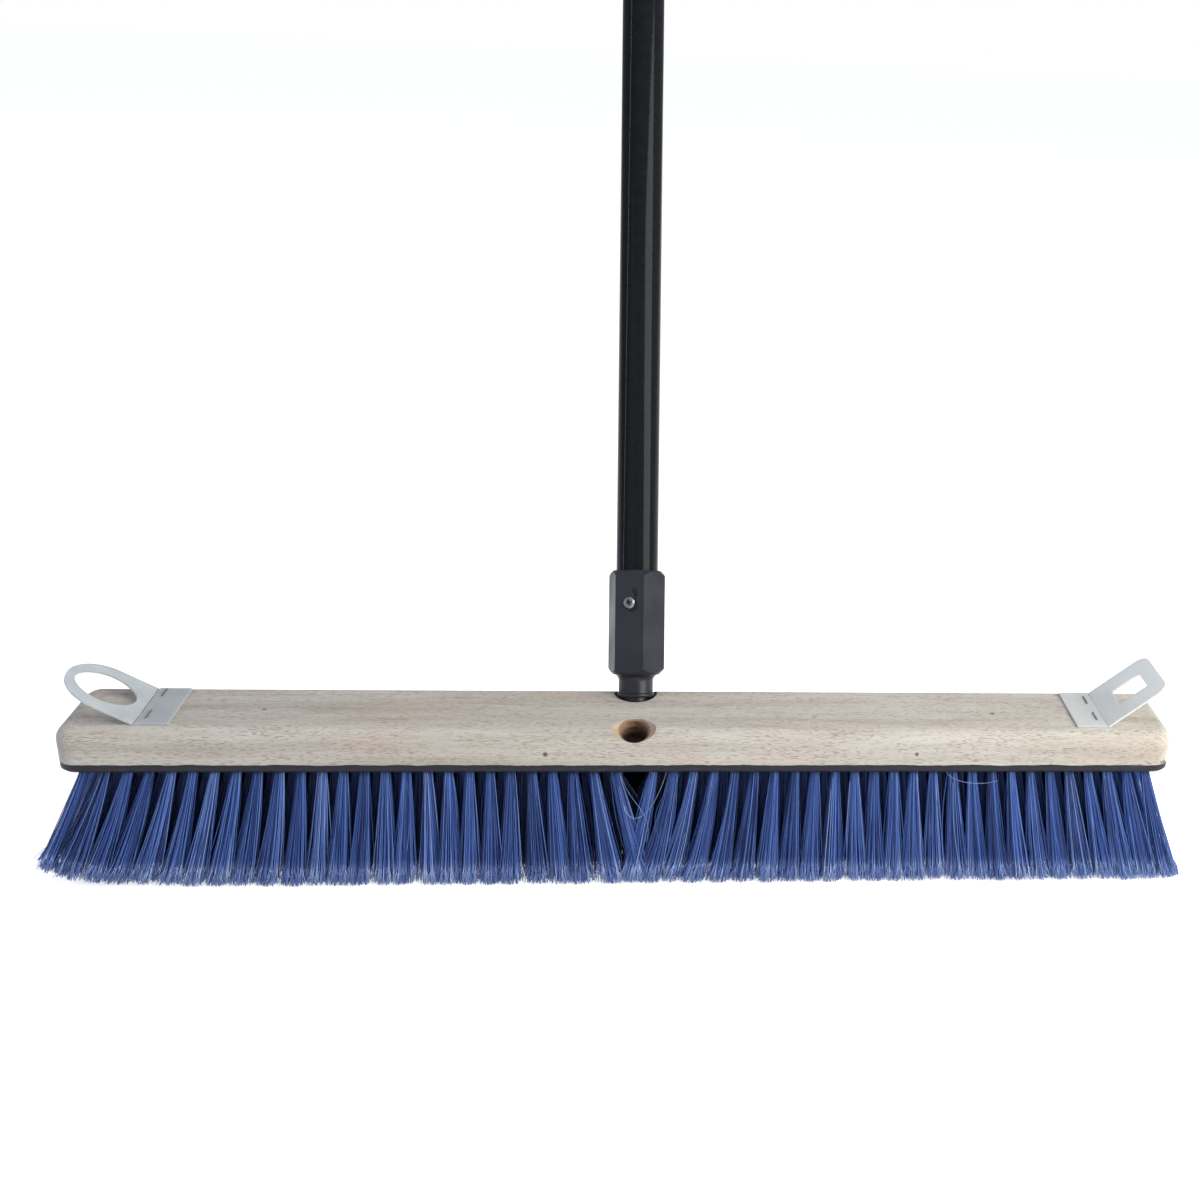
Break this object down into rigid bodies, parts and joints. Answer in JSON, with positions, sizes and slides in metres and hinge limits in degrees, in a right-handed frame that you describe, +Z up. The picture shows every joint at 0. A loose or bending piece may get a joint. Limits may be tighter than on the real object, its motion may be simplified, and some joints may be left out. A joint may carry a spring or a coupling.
{
  "type": "push broom",
  "caption": "Wide push broom: wooden block with rows of soft bristle tufts, two angled threaded handle holes, a metal tube handle in a hexagonal threaded ferrule, and hinged hang tabs.",
  "frame": {"origin": "under the middle of the block, on the plane of the trimmed bristle tips", "axes": "+X along the block to the right, +Y to the back, where the handle leans, +Z up"},
  "size_m": [0.646, 0.6514, 1.4741],
  "materials": {
    "wood": "unfinished pale hardwood, underside and lower edge painted black",
    "bristle": "fine blue synthetic fibre with flagged paler tips",
    "steel": "bright zinc",
    "ferrule_plastic": "satin moulded black",
    "tube_paint": "gloss black coating",
    "tab_plastic": "milky translucent, satin"
  },
  "bodies": {
    "block": {"wood_block": "wood", "front_row_left": "bristle", "front_row_right": "bristle", "second_row_left": "bristle", "second_row_right": "bristle", "middle_row_left": "bristle", "middle_row_right": "bristle", "fourth_row_left": "bristle", "fourth_row_right": "bristle", "back_row_left": "bristle", "back_row_right": "bristle", "front_row_anchors": "steel", "second_row_anchors": "steel", "middle_row_anchors": "steel", "fourth_row_anchors": "steel", "back_row_anchors": "steel", "left_tab_plate": "tab_plastic", "left_tab_staples": "steel", "right_tab_plate": "tab_plastic", "right_tab_staples": "steel"},
    "handle_lift": {"handle_cap": "ferrule_plastic"},
    "handle": {"threaded_ferrule": "ferrule_plastic", "ferrule_screw": "steel", "handle_tube": "tube_paint"},
    "left_loop": {"left_tab_loop": "tab_plastic"},
    "right_strap": {"right_tab_strap": "tab_plastic"}
  },
  "joints": [
    {"name": "handle_travel", "type": "slide", "parent": "block", "child": "handle_lift", "axis": [0, 0.3907, 0.9205], "range_m": [0, 0.0204]},
    {"name": "handle_turn", "type": "hinge", "parent": "handle_lift", "child": "handle", "pos_m": [0, 0.019, 0.0919], "axis": [0, 0.3907, 0.9205], "range_deg": [0, 1440]},
    {"name": "left_loop_fold", "type": "hinge", "parent": "block", "child": "left_loop", "pos_m": [-0.2648, 0, 0.0925], "axis": [0, 1, 0], "range_deg": [-27, 96]},
    {"name": "right_strap_fold", "type": "hinge", "parent": "block", "child": "right_strap", "pos_m": [0.2678, 0, 0.0925], "axis": [0, -1, 0], "range_deg": [-37, 85]}
  ],
  "couplings": [
    {"joint": "handle_travel", "follows": "handle_turn", "m_per_rad": 0.00080851}
  ]
}
